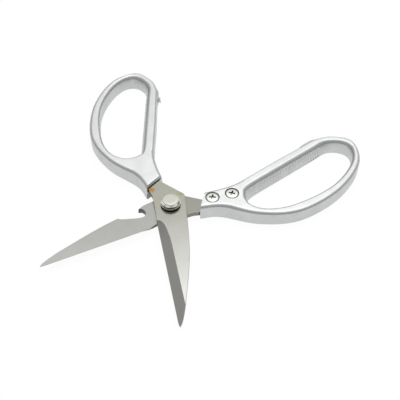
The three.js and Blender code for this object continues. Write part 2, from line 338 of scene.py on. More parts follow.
def trim_end(obj, way, reach):
    """Takes away what lies less than reach along the way from the pivot axis, and closes the end."""
    spot = way * reach * MM
    with editing(obj.data) as bm:
        parts = [*bm.verts, *bm.edges, *bm.faces]
        bmesh.ops.bisect_plane(bm, geom=parts, dist=1e-7, plane_co=spot, plane_no=-way, clear_outer=True)
        bmesh.ops.contextual_create(bm, geom=[e for e in bm.edges if e.is_boundary])
        bmesh.ops.recalc_face_normals(bm, faces=bm.faces)


def break_edges(obj, width):
    """Rounds the piece's sharp edges a little."""
    tool = obj.modifiers.new("edge_break", "BEVEL")
    tool.width = width * MM
    tool.segments = 3
    tool.limit_method = "ANGLE"
    tool.angle_limit = math.radians(40)
    tool.use_clamp_overlap = True
    apply_modifiers(obj)


def apply_modifiers(obj):
    """Makes the piece's modified shape its own mesh."""
    graph = bpy.context.evaluated_depsgraph_get()
    old = obj.data
    obj.data = bpy.data.meshes.new_from_object(obj.evaluated_get(graph))
    obj.modifiers.clear()
    bpy.data.meshes.remove(old)


def add_piece(name, mesh, materials):
    """A new object of the scene with these finishes."""
    obj = bpy.data.objects.new(name, mesh)
    bpy.context.scene.collection.objects.link(obj)
    for m in materials:
        mesh.materials.append(m)
    return obj


def vertex_places(mesh):
    """The mesh's points as an array with three columns."""
    co = np.empty(len(mesh.vertices) * 3)
    mesh.vertices.foreach_get("co", co)
    return co.reshape(-1, 3)


def lay_in_half(obj, name, half):
    """A copy of a piece drawn in the half frame, with its place in one of the halves in its mesh."""
    mesh = obj.data.copy()
    mesh.name = name
    mesh.vertices.foreach_set("co", placed(vertex_places(mesh) * TO_MM, half).ravel())
    mesh.update()
    return add_piece(name, mesh, ())


def discard(obj):
    """Removes a piece that only served as a pattern or a cutter."""
    mesh = obj.data
    bpy.data.objects.remove(obj)
    bpy.data.meshes.remove(mesh)


def shade(obj, angle, weighted=False):
    """Smooth shading that breaks where faces meet at more than this angle. Weighted shading keeps a large
    flat face flat beside its rounded edges."""
    mesh = obj.data
    mesh.polygons.foreach_set("use_smooth", np.ones(len(mesh.polygons), bool))
    mesh.set_sharp_from_angle(angle=math.radians(angle))
    mesh.update()
    if weighted:
        tool = obj.modifiers.new("flat_faces", "WEIGHTED_NORMAL")
        tool.keep_sharp = True
        tool.weight = 100
        apply_modifiers(obj)


def lay_grain(obj, half):
    """UV map "grain": the half frame's own x and y, where 1 is 100 mm."""
    mesh = obj.data
    co = vertex_places(mesh) * 10
    c, s = math.cos(HALF_ANGLE), math.sin(HALF_ANGLE)
    y = -co[:, 1] if half == "upper" else co[:, 1]
    flat = np.column_stack([co[:, 0] * c - y * s, co[:, 0] * s + y * c])
    corner = np.empty(len(mesh.loops), int)
    mesh.loops.foreach_get("vertex_index", corner)
    layer = mesh.uv_layers.new(name="grain")
    layer.data.foreach_set("uv", flat[corner].ravel())


def hand_over(obj, body, node):
    """The finished piece stands for its CAD node and moves with its body."""
    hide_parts(node)
    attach(obj, body)


# Finishes


class Tree:
    """A material's or world's node tree, with short ways to add and link nodes."""

    def __init__(self, owner):
        owner.use_nodes = True
        self.owner = owner
        self.tree = owner.node_tree
        self.tree.nodes.clear()

    def add(self, kind, **inputs):
        """A new node, with its inputs set by name."""
        node = self.tree.nodes.new("ShaderNode" + kind)
        for key, value in inputs.items():
            self.put(node.inputs[key.replace("_", " ")], value)
        return node

    def put(self, socket, value):
        """Links a socket to a value's output, or sets it to a constant."""
        if isinstance(value, bpy.types.NodeSocket):
            self.tree.links.new(value, socket)
        else:
            socket.default_value = value

    def ramp(self, value, *stops):
        """Colour ramp with a stop for each (position, colour)."""
        node = self.add("ValToRGB", Fac=value)
        places = node.color_ramp.elements
        for _ in stops[2:]:
            places.new(0.5)
        for element, (at, colour) in zip(places, stops):
            element.position = at
            element.color = colour
        return node.outputs["Color"]

    def spread(self, value, base, low, high, start=0.3, end=0.7):
        """The base colour times low where the value is small, and times high where it is large."""
        return self.ramp(value, (start, tint(base, low)), (end, tint(base, high)))

    def maths(self, operation, a, b=0.0):
        """One number worked out from two."""
        node = self.add("Math")
        node.operation = operation
        self.put(node.inputs[0], a)
        self.put(node.inputs[1], b)
        return node.outputs[0]

    def measure(self, operation, a, b=(0, 0, 0)):
        """One number worked out from two vectors: a length, a distance or a dot product."""
        node = self.add("VectorMath")
        node.operation = operation
        self.put(node.inputs[0], a)
        self.put(node.inputs[1], b)
        return node.outputs["Value"]

    def mix(self, fac, a, b, blend="MIX"):
        """Two colours blended."""
        node = self.add("Mix")
        node.data_type = "RGBA"
        node.blend_type = blend
        self.put(node.inputs[0], fac)
        self.put(node.inputs[6], a)
        self.put(node.inputs[7], b)
        return node.outputs[2]

    def stretch(self, coordinate, scale, turn=0.0):
        """Coordinates scaled and turned about z."""
        node = self.add("Mapping", Vector=coordinate, Scale=scale, Rotation=(0, 0, turn))
        return node.outputs["Vector"]

    def noise(self, coordinate, scale, detail=3.0, rough=0.55):
        """Cloudy noise between 0 and 1."""
        node = self.add("TexNoise", Vector=coordinate, Scale=scale, Detail=detail, Roughness=rough)
        return node.outputs["Fac"]

    def object_place(self):
        """The place on the piece, in metres."""
        return self.add("TexCoord").outputs["Object"]

    def grain_place(self):
        """The place on the blade, along and across it."""
        node = self.add("UVMap")
        node.uv_map = "grain"
        return node.outputs["UV"]

    def stain(self, place, spot, reach, depth):
        """Soft ragged blot: strongest at the spot and gone at reach from it."""
        away = self.measure("DISTANCE", place, (*spot, 0))
        ragged = self.maths("MULTIPLY", self.noise(place, 60), reach * 0.8)
        edge = self.maths("DIVIDE", self.maths("ADD", away, ragged), reach)
        return self.spread(edge, WHITE, depth, 0.0, 0.5, 1.0)

    def surface(self, shader):
        """Ends the tree with this shader and gives back its material."""
        self.add("OutputMaterial", Surface=shader.outputs[0])
        return self.owner

    def coat(self, colour, rough, height, strength, distance, metallic=1.0):
        """A Principled finish whose relief follows the height. Gives back its material."""
        relief = self.add("Bump", Strength=strength, Distance=distance, Height=height)
        return self.surface(self.add(
            "BsdfPrincipled", Base_Color=colour, Metallic=metallic, Roughness=rough, Normal=relief.outputs[0]
        ))


def tint(colour, factor):
    """A colour made darker or lighter, with full alpha."""
    return (*(min(1.0, c * factor) for c in colour[:3]), 1)


def grey(level):
    """A share of white."""
    return tint(WHITE, level)


def finish_tree(name):
    """The empty node tree of a new material."""
    return Tree(bpy.data.materials.new(name))


def cast_aluminium(colours):
    """Tumbled satin casting: fine pitted grain, faint clouds and edges rubbed brighter."""
    t = finish_tree("cast_aluminium")
    place = t.object_place()
    cloud = t.noise(place, 130)
    grit = t.noise(place, 3200, 2, 0.6)
    colour = t.spread(cloud, colours.casting, 0.955, 1.02)
    colour = t.mix(1.0, colour, t.spread(grit, WHITE, 0.92, 1.0, 0.32, 0.55), "MULTIPLY")
    rubbed = t.spread(t.add("NewGeometry").outputs["Pointiness"], WHITE, 0.0, 0.6, 0.5, 0.56)
    worn = t.maths("MULTIPLY", rubbed, t.spread(cloud, WHITE, 0.2, 1.0, 0.4, 0.65))
    colour = t.mix(worn, colour, tint(colours.casting, 1.12))
    return t.coat(colour, t.spread(cloud, WHITE, 0.40, 0.34), grit, 0.12, 0.00012)


def sawn_aluminium(colours):
    """The neck's sawn end: dull, with close saw lines across it, and its colour darkened to 0.42 of the
    casting as painted shade of the end below the slot.
    """
    t = finish_tree("sawn_aluminium")
    lines = t.noise(t.stretch(t.object_place(), (300, 300, 6000)), 1, 3, 0.6)
    colour = t.spread(lines, tint(colours.casting, 0.42), 0.85, 1.05)
    return t.coat(colour, t.spread(lines, WHITE, 0.55, 0.45), lines, 0.1, 0.00005)


def blade_steel(half, colours):
    """Flat-ground stainless steel: long fine grinding lines on a satin face, warmer round the pivot and the
    tang, with painted light that brightens the steel toward the tip, and an amber and an olive blot at the
    upper blade's shoulders."""
    t = finish_tree(half + "_blade_steel")
    place = t.grain_place()
    lines = t.noise(t.stretch(place, (14, 900, 1)), 1, 3, 0.6)
    along = t.add("SeparateXYZ", Vector=place).outputs["X"]
    near, far, depth = ROOT_WARMTH[half]
    root = t.spread(along, WHITE, 1.0, 0.0, near, far)
    straw = tint(tint(colours.straw, LIGHT_GAIN[half]), depth)
    colour = t.mix(root, tint(colours.steel, LIGHT_GAIN[half]), straw)
    # Painted light: this ramp brightens the steel from the pivot toward the tip
    tip_light = t.ramp(along, *((at, grey(level)) for at, level in PAINTED_TIP_LIGHT[half]))
    cloud = t.spread(t.noise(place, 9), WHITE, 0.95, 1.0)
    for layer in (tip_light, cloud, t.spread(lines, WHITE, 0.93, 1.0)):
        colour = t.mix(1.0, colour, layer, "MULTIPLY")
    for key, spot, reach, depth in STAINS if half == "upper" else ():
        colour = t.mix(t.stain(place, spot, reach, depth), colour, tint(getattr(colours, key), 1))
    return t.coat(colour, t.spread(lines, WHITE, 0.24, 0.18), lines, 0.05, 0.00005)


def ground_edge(colours):
    """The sharpened bevel: coarser grinding lines straight across the edge."""
    t = finish_tree("ground_edge")
    lines = t.noise(t.stretch(t.grain_place(), (700, 12, 1), 0.12), 1, 3, 0.6)
    colour = t.spread(lines, colours.bevel, 0.93, 1.04)
    return t.coat(colour, t.spread(lines, WHITE, 0.36, 0.28), lines, 0.08, 0.00005)


def sheared_steel(colours):
    """The punched walls of the notch and heel: dull and scored from top to bottom. Its dark colour on the
    lower blade's heel wall, beside the upper blade, is painted shade.
    """
    t = finish_tree("sheared_steel")
    score = t.noise(t.stretch(t.object_place(), (2600, 2600, 160)), 1, 3, 0.6)
    return t.coat(t.spread(score, colours.sheared, 0.8, 1.1), 0.42, score, 0.2, 0.00005)


def plated_steel(name, base, rough_low, rough_high):
    """Plated turned steel: bright, with a faint bloom and fine handling marks."""
    t = finish_tree(name)
    place = t.object_place()
    colour = t.spread(t.noise(place, 420), base, 0.96, 1.03)
    marks = t.noise(place, 2600, 2, 0.6)
    return t.coat(colour, t.spread(marks, WHITE, rough_high, rough_low, 0.35, 0.65), marks, 0.04, 0.00005)


def turned_face(colours):
    """Lathe-faced steel: fine rings round the pivot axis on a satin plate."""
    t = finish_tree("turned_face")
    place = t.object_place()
    colour = t.spread(t.noise(place, 420), colours.face, 0.97, 1.03)
    rings = t.noise(t.measure("LENGTH", t.stretch(place, (1, 1, 0))), 9000, 2, 0.6)
    return t.coat(colour, t.spread(rings, WHITE, 0.30, 0.22, 0.35, 0.65), rings, 0.04, 0.00004)


def bumper_plastic(colours):
    """Pale moulded plastic with a fine matt skin."""
    t = finish_tree("bumper_plastic")
    skin = t.noise(t.object_place(), 2500, 2)
    return t.coat(t.spread(skin, colours.bumper, 0.95, 1.03), 0.45, skin, 0.1, 0.00005, metallic=0.0)


# Settings


def length_setting(name, description, default):
    """A length in metres."""
    return bpy.props.FloatProperty(
        name=name, description=description, default=default, unit="LENGTH", precision=4
    )


def angle_setting(name, description, default):
    """An angle in plain degrees."""
    return bpy.props.FloatProperty(name=name, description=description + ", in degrees", default=default)


def colour_setting(name, description, default):
    """The base colour of a finish."""
    return bpy.props.FloatVectorProperty(name=name, description=description, default=default, subtype="COLOR")


class HandleSizes(bpy.types.PropertyGroup):
    thickness: length_setting("Thickness", "Height of the casting", 0.010)
    round_across: length_setting("Rounding across", "How far the rounded edge reaches over the face", 0.0022)
    round_down: length_setting("Rounding down", "How far the rounded edge reaches down the wall", 0.0021)
    foot_round: length_setting("Foot rounding", "Rounded edge of the side that lies down", 0.0011)
    rim_across: length_setting("Rim across", "How far the loop's rounded rim reaches over the face", 0.0017)
    rim_down: length_setting("Rim down", "How far the loop's rounded rim reaches down the wall", 0.0021)
    loop_draft: length_setting("Loop draft", "How far the loop's wall leans back from foot to crown", 0.0021)
    rib_count: bpy.props.IntProperty(
        name="Grip ribs", description="Grooves between the finger ribs of one bar", default=24, min=0
    )
    rib_depth: length_setting("Rib depth", "Depth of the grooves", 0.0005)


class BladeSizes(bpy.types.PropertyGroup):
    bevel_width: length_setting("Bevel width", "Width of the ground bevel across the edge", 0.00543)


class FinishColours(bpy.types.PropertyGroup):
    casting: colour_setting("Casting", "Satin aluminium of the handles", (0.655, 0.672, 0.668))
    steel: colour_setting("Blade steel", "Flat faces of the blades", (0.375, 0.373, 0.355))
    bevel: colour_setting("Ground bevel", "Sharpened bevels", (0.40, 0.392, 0.366))
    # Dark colour of the punched walls, and painted shade on the lower blade's heel wall
    sheared: colour_setting("Sheared wall", "Punched walls of the notch and heel", (0.17, 0.168, 0.16))
    straw: colour_setting("Straw tint", "Warm steel round the pivot and tang", (0.355, 0.35, 0.305))
    # Colours of the amber blot and of the separate olive blot on the upper blade's shoulders
    stain: colour_setting("Stain", "Amber heat stain at the shoulders", (0.32, 0.155, 0.022))
    bloom: colour_setting("Bloom", "Olive edge of the heat stain", (0.27, 0.225, 0.06))
    # The cone's colour is a painted highlight; 0.68 of it paints shade in the groove below and colours the
    # washer
    pivot: colour_setting("Pivot", "Plated cone of the pivot screw, and its washer", (0.92, 0.915, 0.85))
    face: colour_setting("Pivot face", "Lathe-faced end of the pivot screw, and its nut", (0.45, 0.445, 0.39))
    screw: colour_setting("Screws", "Plated tang screws", (0.62, 0.62, 0.58))
    # Near-black colour of the spring washer: painted shade of the gap under the pivot's washer
    spring: colour_setting("Spring washer", "Blackened spring steel", (0.12, 0.114, 0.09))
    bumper: colour_setting("Bumper", "Pale plastic of the stop bumpers", (0.93, 0.94, 0.93))


class StageSettings(bpy.types.PropertyGroup):
    lens: bpy.props.FloatProperty(
        name="Lens", description="Focal length on a 36 mm sensor", default=71.526, unit="CAMERA"
    )
    azimuth: angle_setting("Azimuth", "Camera's direction round the scissors", 116.12)
    elevation: angle_setting("Elevation", "Camera's height above the floor", 46.75)
    distance: length_setting("Distance", "Camera to the point it looks at", 0.46314)
    target: bpy.props.FloatVectorProperty(
        name="Target", description="Point the camera looks at", subtype="TRANSLATION", unit="LENGTH",
        default=(-0.012766, 0.012557, 0.005),
    )
    glow_azimuth: angle_setting("Glow azimuth", "Direction of the studio glow round the scissors", 285.0)
    glow_elevation: angle_setting("Glow elevation", "Height of the studio glow above the floor", 67.0)
    glow_strength: bpy.props.FloatProperty(
        name="Glow strength", description="Brightness of the studio surround", default=3.6, min=0.0
    )


class ScissorsSettings(bpy.types.PropertyGroup):
    handle: bpy.props.PointerProperty(type=HandleSizes)
    blade: bpy.props.PointerProperty(type=BladeSizes)
    colours: bpy.props.PointerProperty(type=FinishColours)
    stage: bpy.props.PointerProperty(type=StageSettings)


# Handles


def handle_curves(cast):
    """Outer outline and loop of the casting, each one closed smooth curve that runs anticlockwise."""
    bow = spline([
        (-12.5, 13.9), (-22.1, 18.5), (-38.4, 35.3), (-60, 45.5), (-89, 44), (-113, 32.5),
        (-121.7, 16), (-113.6, 5.2), (-103.5, 2), (-96, 2.2),
    ])
    neck = spline([
        (-71, 4.25), (-52, 6.3), (-40, 7.2), (-30, 5.8), (-23, 3.95), (-20.1, 3.2), (-17.6, 4.3), (-12, 7),
        (-6, 9),
    ])
    loop = spline([
        BAR_NEAR, *cast.loop_near, (-60, 39), (-86, 39),
        (-107.8, 29.9), (-115.6, 17.6), (-107.3, 9.4), BAR_FAR,
    ])
    outer = np.vstack([bow, neck])
    return [soften(even(curve, CURVE_STEP), CURVE_SOFTNESS) for curve in (outer, loop)]


def bearing(facing):
    """Direction of each normal in degrees from the half's x: 90 at the bow, 180 at the far end, 270 at the
    bar."""
    return np.mod(np.degrees(np.arctan2(facing[:, 1], facing[:, 0])), 360)


def neck_lean(curve):
    """How far the bow's side of the outer wall leans in toward its crown: it hangs out a little round the
    loop, and leans in along the neck."""
    side = np.clip((curve[:, 1] - 8) / 4, 0, 1)
    return side * np.interp(curve[:, 0], [-62, -45, -30, -25.5, -19, -13], [-0.3, 0, 0.9, 1.45, 0.45, 0.6])


def boss(curve, level, cast):
    """Low boss on the outer wall that carries the bumper: a rounded pad that dies out above and below."""
    run = np.interp(curve[:, 0], [-110, -101.5, cast.boss_end - 5, cast.boss_end + 3], [0, 1, 1, 0])
    run = np.where(curve[:, 1] < 8, ease(run), 0)
    tall = np.clip((BOSS_TOP - np.abs(level)) / BOSS_FADE, 0, 1)
    return cast.boss_height * run[:, None] * ease(tall)


def loop_lean(facing, rise, draft, cast):
    """How far the loop's wall leans back at a share of its rise: with the square of the rise up to the whole
    draft round the far end and along the bar, and nothing at the bow and the neck. The bar's wall also stands
    into the loop, and the foot is undercut at the two far corners."""
    turn = bearing(facing)
    lean = np.interp(turn, [95, 130, 170, 300, 345], [0, 0.45, 1, 1, 0])[:, None] * rise**2 * draft
    foot = np.interp(turn, [132, 152, 166, 186, 200, 222, 242, 266], [0, 1.1, 1.1, 0.1, 0, 0.9, 0.9, 0])
    lean += soften(np.column_stack([foot, foot]), 10)[:, :1] * cast.undercut * (1 - rise**2)
    return lean - np.interp(turn, [225, 255, 315, 350], [0, 1, 1, 0])[:, None] * cast.bar_stand


def rib_cut(points, count, depth):
    """Depth of the grip grooves along the bar: round-bottomed channels at an even pitch, each an arc of
    RIB_RADIUS sunk by depth, which is greater at the far end."""
    far, near = np.array(BAR_FAR), np.array(BAR_NEAR)
    length = np.linalg.norm(near - far)
    along = (points - far) @ (near - far) / length
    aside = np.abs((points - far) @ np.array([-(near - far)[1], (near - far)[0]]) / length)
    pitch = length / count
    x = (np.mod(along / pitch, 1) - 0.5) * pitch
    sunk = depth * np.interp(along, [2, 9], [1.2, 0.8])
    groove = np.sqrt(np.maximum(RIB_RADIUS**2 - x**2, 0)) - (RIB_RADIUS - sunk)
    on_bar = (along > -4.5) & (along < length + 5) & (aside < 1)
    return np.where(on_bar, np.maximum(groove, 0), 0)


def rounded_wall(height, top, bottom, upright=13):
    """Section of a wall from its foot to its crown as (inset, level): a quarter ellipse of the bottom's
    (across, down), a straight rise, and a quarter ellipse of the top's."""
    a = np.linspace(0, np.pi / 2, 10)
    rise = np.linspace(bottom[1] - height, height - top[1], upright + 2)[1:-1]
    inset = np.r_[bottom[0] * (1 - np.cos(a[::-1])), np.zeros(upright), top[0] * (1 - np.cos(a))]
    foot = bottom[1] - height - bottom[1] * np.sin(a[::-1])
    crown = height - top[1] + top[1] * np.sin(a)
    return inset, np.r_[foot, rise, crown]


def carried_up(flat, level, up):
    """A wall whose plan at each level is given, with the crown on the side that faces up."""
    points = np.concatenate([flat, np.broadcast_to(up * level[:, None], (*flat.shape[:2], 1))], -1)
    return points, grid_quads(*flat.shape[:2], True, False)


def outline_wall(sizes, outer, cast):
    """The wall round the outline: the curve carried up through a section that stands upright and turns over,
    by a quarter of an ellipse, to a flat above and below. The foot is fuller at the neck, the crown is
    tighter round the far end, and the wall swells into the bumper's boss."""
    height = sizes.thickness * TO_MM / 2
    crown = (sizes.round_across * TO_MM, sizes.round_down * TO_MM)
    foot = (sizes.foot_round * TO_MM, sizes.foot_round * TO_MM)
    inset, level = rounded_wall(height, crown, foot)
    facing = outward(outer)
    fuller = 1 + np.interp(outer[:, 0], [-60, -42], [0, 0.9])
    tighter = np.interp(bearing(facing), [90, 135, 180, 270, 360], [1, cast.bow_crown, 0.68, 0.7, 0.7])
    tighter = np.where(outer[:, 0] < -45, tighter, 1)
    share = np.where(level < 0, fuller[:, None], tighter[:, None])
    rise = (1 + level / height) / 2
    sunk = inset * share + neck_lean(outer)[:, None] * rise - boss(outer, level, cast)
    return carried_up(outer[:, None] - facing[:, None] * sunk[..., None], level, cast.up)


def loop_wall(sizes, loop, cast):
    """The wall round the loop, carried up in the same way. It leans back toward the side that faces up and is
    sunk by the grip grooves, which fade out toward the rim."""
    height = sizes.thickness * TO_MM / 2
    rim = (sizes.rim_across * TO_MM, sizes.rim_down * TO_MM)
    foot = (sizes.foot_round * TO_MM, sizes.foot_round * TO_MM)
    inset, level = rounded_wall(height, rim, foot)
    facing = outward(loop)
    lean = loop_lean(facing, (1 + level / height) / 2, sizes.loop_draft * TO_MM, cast)
    fade = np.clip((np.where(level < 0, cast.rib_foot, RIB_TOP) - np.abs(level)) / RIB_FADE, 0, 1)
    sunk = inset + lean + rib_cut(loop, sizes.rib_count, sizes.rib_depth * TO_MM)[:, None] * fade
    return carried_up(loop[:, None] + facing[:, None] * sunk[..., None], level, cast.up)


def close_flats(obj):
    """Fills the flat faces between the two walls, above and below."""
    with editing(obj.data) as bm:
        rims = [e for e in bm.edges if e.is_boundary]
        for side in (-1, 1):
            rim = [e for e in rims if e.verts[0].co.z * side > 0]
            bmesh.ops.triangle_fill(bm, use_beauty=True, edges=rim)
        bmesh.ops.recalc_face_normals(bm, faces=bm.faces)


def neck_cuts(cast):
    """What is machined out of the casting: the slot for the tang, which is opened out at its mouth below the
    lip, the two stepped screw bores and the bumper's socket."""
    slot = [
        (-36.85, 17.25), (-36.85, 9.15), (-23.5, 6.35), (-19.65, 4.75), (-15, 0.2), (-4, 9), (-11.7, 12.05),
        (-20, 14.45),
    ]
    mouth = [(-24.5, 2.7), (-24.5, -0.5), (-6, 13), (-12.9, 13)]
    bore = turned([(0, -2.9), (2.2, -2.9), (2.2, 2.3), (4.2, 2.3), (4.2, 6), (0, 6)], 72)
    socket = at_bumper(turned([(0, -4), (1.4, -4), (1.4, 3.65), (0, 3.65)], 48))
    cuts = {"tang_slot": prism(slot, -3.1, 0.2)}
    if cast.lip_reach:
        cuts["slot_mouth"] = prism(mouth, -3.6, -2.6)
    cuts["bores"] = joined([*(moved(bore, *place) for place in SCREW_PLACES.values()), socket])
    return cuts


def shade_sawn_end(obj, up):
    """Gives the neck's end below the slot the sawn finish, whose dark colour is painted shade."""

    def at_end(face):
        return face.normal.dot(NECK_WAY) < -0.95 and face.calc_center_median().x > SHADED_END_FROM_X * MM

    with editing(obj.data) as bm:
        end = [f for f in bm.faces if at_end(f)]
        parts = {*end, *(e for f in end for e in f.edges), *(v for f in end for v in f.verts)}
        bmesh.ops.bisect_plane(bm, geom=list(parts), dist=1e-7, plane_co=(0, 0, 0), plane_no=(0, 0, 1))
        for f in bm.faces:
            f.material_index = int(at_end(f) and f.calc_center_median().z * up < 0)


class SCISSORS_OT_handles(bpy.types.Operator):
    """Two cast handles with ribbed finger loops, slotted necks and screw bores"""

    bl_idname = "scissors.handles"
    bl_label = "Add handles"

    def execute(self, context):
        settings = context.scene.scissors
        finishes = [cast_aluminium(settings.colours), sawn_aluminium(settings.colours)]
        for half, cast in CASTINGS.items():
            outer, loop = handle_curves(cast)
            outer_wall = outline_wall(settings.handle, outer[::6], cast)
            inner_wall = loop_wall(settings.handle, loop[::3], cast)
            points, faces = joined([outer_wall, inner_wall])
            pattern = add_piece("casting_pattern", mesh_of("casting_pattern", points * MM, faces), finishes)
            close_flats(pattern)
            trim_end(pattern, NECK_WAY, cast.neck_reach)
            if cast.lip_reach:
                trim_end(pattern, LIP_WAY, cast.lip_reach)
            break_edges(pattern, cast.end_round)
            for name, (points, faces) in neck_cuts(cast).items():
                cut(pattern, name, points * MM, faces)
            # The neck's end below the slot is painted dark as shade
            shade_sawn_end(pattern, cast.up)
            shade(pattern, 32, weighted=True)
            obj = lay_in_half(pattern, half + "_handle_casting", half)
            hand_over(obj, half + "_half", half + "_handle")
            discard(pattern)
        return {"FINISHED"}


# Blades


def edge_y(x):
    """The straight cutting edge, which falls toward the tip."""
    return EDGE_Y - EDGE_SLOPE * x


def leaned(points, half):
    """Points moved across in proportion to x, up to the tip's offset at the blade's full length."""
    p = np.array(points, float)
    p[:, 1] += TIP_OFFSET[half] * p[:, 0] / BLADE_LENGTH
    return p


def blade_lines(half):
    """Both sides of the blade's outline as (x, y) lines that run from the tang's end to the tip: a straight
    cutting edge that ends in a blunt nose, and a back that bows out. The tips meet a little off the
    handles' centre line, so the outline leans by the tip's offset over the blade's length."""
    short = TIP_SHORT[half]
    nose_x, tip = 78.5 - short, (BLADE_LENGTH - short, 0)
    tail = [(-3.95, -8.75), (9.3, -8.7)]
    start = [(HEEL_X, edge_y(HEEL_X))]
    if half == "lower":
        tail = [(-3.95, -9.05), (5, -9.85), (12.7, -9.9)]
        start = [(HEEL_X, 6.3), (13.4, 6.65), (15.5, 7.1), (18.5, edge_y(18.5))]
    edge = leaned(np.vstack([start, bend((nose_x, edge_y(nose_x)), (82 - short, 0.72), tip)]), half)
    heel = np.vstack([
        [(TANG_END_X, 17), (-20, 14.2)],
        spline([(-11.7, 11.7), (-8.2, 10.3), (-1.8, 9.4), (5.3, 8.85), tuple(edge[0])]),
    ])
    bow = leaned([
        (16.5, -8.85), (26, -8.75), (36.6, -8.3), (48.5, -7.05), (60.6, -5.25), (70, -3.82),
        (77 - short, -2.4), (81 - short, -1.2), tip,
    ], half)
    back = np.vstack([
        [(TANG_END_X, 9.4), (-23.5, 6.6), (-19.4, 5)],
        bend((-7.8, -8.1), (-6.8, -8.9), (-4, tail[0][1])),
        spline(np.vstack([tail, bow])),
    ])
    return edge, heel, back


def blade_stations(half):
    """Places along x where the blade has a section: every point of its outline and an even step between them,
    with the heel twice. Also tells which are ground, and gives the y of the cutting side and of the back."""
    edge, heel, back = blade_lines(half)
    reach = BLADE_LENGTH - TIP_SHORT[half]
    x = np.r_[edge[:, 0], heel[:, 0], back[:, 0], np.arange(TANG_END_X, reach, STATION_STEP), reach]
    x = np.unique(np.round(x, 3))
    x = x[np.r_[True, np.diff(x) > 0.04]]
    before, after = x[x < HEEL_X - 0.03], x[x > HEEL_X + 0.03]
    after[-1] = reach
    x = np.r_[before, HEEL_X, HEEL_X, after]
    is_ground = np.arange(x.size) > before.size
    e = np.where(is_ground, np.interp(x, edge[:, 0], edge[:, 1]), np.interp(x, heel[:, 0], heel[:, 1]))
    b = np.minimum(np.interp(x, back[:, 0], back[:, 1]), e)
    return x, is_ground, e, b


def bevel_levels(half, width, x, is_ground, e, low):
    """The bevel's border (y and z) and the level of the cutting edge, at each station. The bevel is a plane
    that falls from the back face at its width from the edge line; where the wheel lifts off at the heel, its
    border curves out to the edge and the plane's lower end rises with it."""
    rise = EDGE_LEVEL - BLADE_BACK
    shear = TIP_OFFSET[half] / BLADE_LENGTH
    line = EDGE_Y - (EDGE_SLOPE - shear) * x - width
    wheel = spline([
        (HEEL_X, 8.45), (12.3, 6.27), (14.5, 4.64), (17.9, 3.41), (22.2, 2.36), (25.2, 1.68),
        (WHEEL_END_X, edge_y(WHEEL_END_X) - width),
    ])
    lift = np.interp(x, wheel[:, 0], wheel[:, 1], right=-np.inf) + shear * x
    border = np.where(is_ground, np.clip(np.maximum(line, lift), low, e), e)
    fall_low, fall_edge = rise * (low - line) / width, rise * (e - line) / width
    border_z = BLADE_BACK + np.where(is_ground & (low >= line), np.maximum(fall_low, 0), 0)
    steep = 1.25 if half == "upper" else np.interp(x, [16, 26], [0.7, 1.25])
    lifted = np.where(x < WHEEL_END_X, steep * rise * (e - border) / width, rise)
    edge_z = BLADE_BACK + np.where(is_ground, np.clip(np.minimum(fall_edge, lifted), 0, rise), 0)
    return border, border_z, edge_z


def section_leg(start, end, steps):
    """Points in even steps from one corner of every section toward the next one."""
    t = np.linspace(0, 1, steps)[:-1]
    return np.stack([a[:, None] * (1 - t) + b[:, None] * t for a, b in zip(start, end)], -1)


def blade_surface(half, bevel_width):
    """A blade before its holes. At each station along x a section ring runs over the flat mating face, up
    the edge, over the bevel to the back face, and down the spine, whose two corners are broken."""
    x, is_ground, e, b = blade_stations(half)
    c = np.minimum(SPINE_BREAK, 0.2 * (e - b))
    border, border_z, edge_z = bevel_levels(half, bevel_width, x, is_ground, e, b + c)
    flat = np.full(x.size, BLADE_FLAT)
    spine_top = flat - np.minimum(c, (flat - border_z) / 2)
    spine_low = np.minimum(border_z + c, flat)
    corners = [
        (b + c, flat), (e, flat), (e, edge_z), (border, border_z), (b + c, border_z), (b, spine_low),
        (b, spine_top),
    ]
    steps = (8, 3, 9, 8, 3, 3, 3)
    legs = [section_leg(corners[k - 1], corners[k], steps[k - 1]) for k in (1, 2, 3, 4, 5, 6, 0)]
    ring = np.concatenate(legs, 1)
    points = np.concatenate([np.broadcast_to(x[:, None, None], (*ring.shape[:2], 1)), ring], -1)
    faces = [*grid_quads(*points.shape[:2], False, True).tolist(), list(range(ring.shape[1]))]
    leg = np.tile(np.repeat(np.arange(len(legs)), [part.shape[1] for part in legs]), x.size - 1)
    station = np.repeat(np.arange(x.size - 1), ring.shape[1])
    finish = (np.isin(leg, (1, 2)) & is_ground[station]).astype(np.int32)
    # The lower blade's heel wall takes the dark sheared finish: painted shade under the upper blade
    if half == "lower":
        finish[(leg == 1) & is_ground[station] & (x[station] < SHADED_HEEL_WALL_X)] = 2
    return points, faces, np.r_[finish, 0]


def blade_holes():
    """Cylinders through the sheet for the pivot and the two tang screws."""
    bores = [((0, 0), PIVOT_BORE), *((place, TANG_BORE) for place in SCREW_PLACES.values())]
    return joined(moved(turned([(0, -4), (r, -4), (r, 1), (0, 1)], 64), *place) for place, r in bores)


def opener_notch():
    """Hooked notch for lifting bottle caps: two smooth curves through its measured points and a square outer
    side. The punch broke out at a slant, so the notch shifts a little toward the edge on its way down."""
    hook = [
        (15.9, -9.1), (15.2, -8.75), (14.5, -8.3), (13.8, -6.4), (14, -4.5), (15, -2.95), (16.4, -2.35),
        (18.85, -2.7),
    ]
    ramp = [(18.85, -2.7), (21.97, -4.13), (25, -5.69), (28, -7.32), (30.4, -9.3)]
    outline = np.vstack([spline(hook)[:-1], spline(ramp), [(30.9, -13), (17.3, -13)]])
    points, faces = prism(outline, -4, 1)
    points[: len(outline), :2] += NOTCH_SLANT
    return points, faces


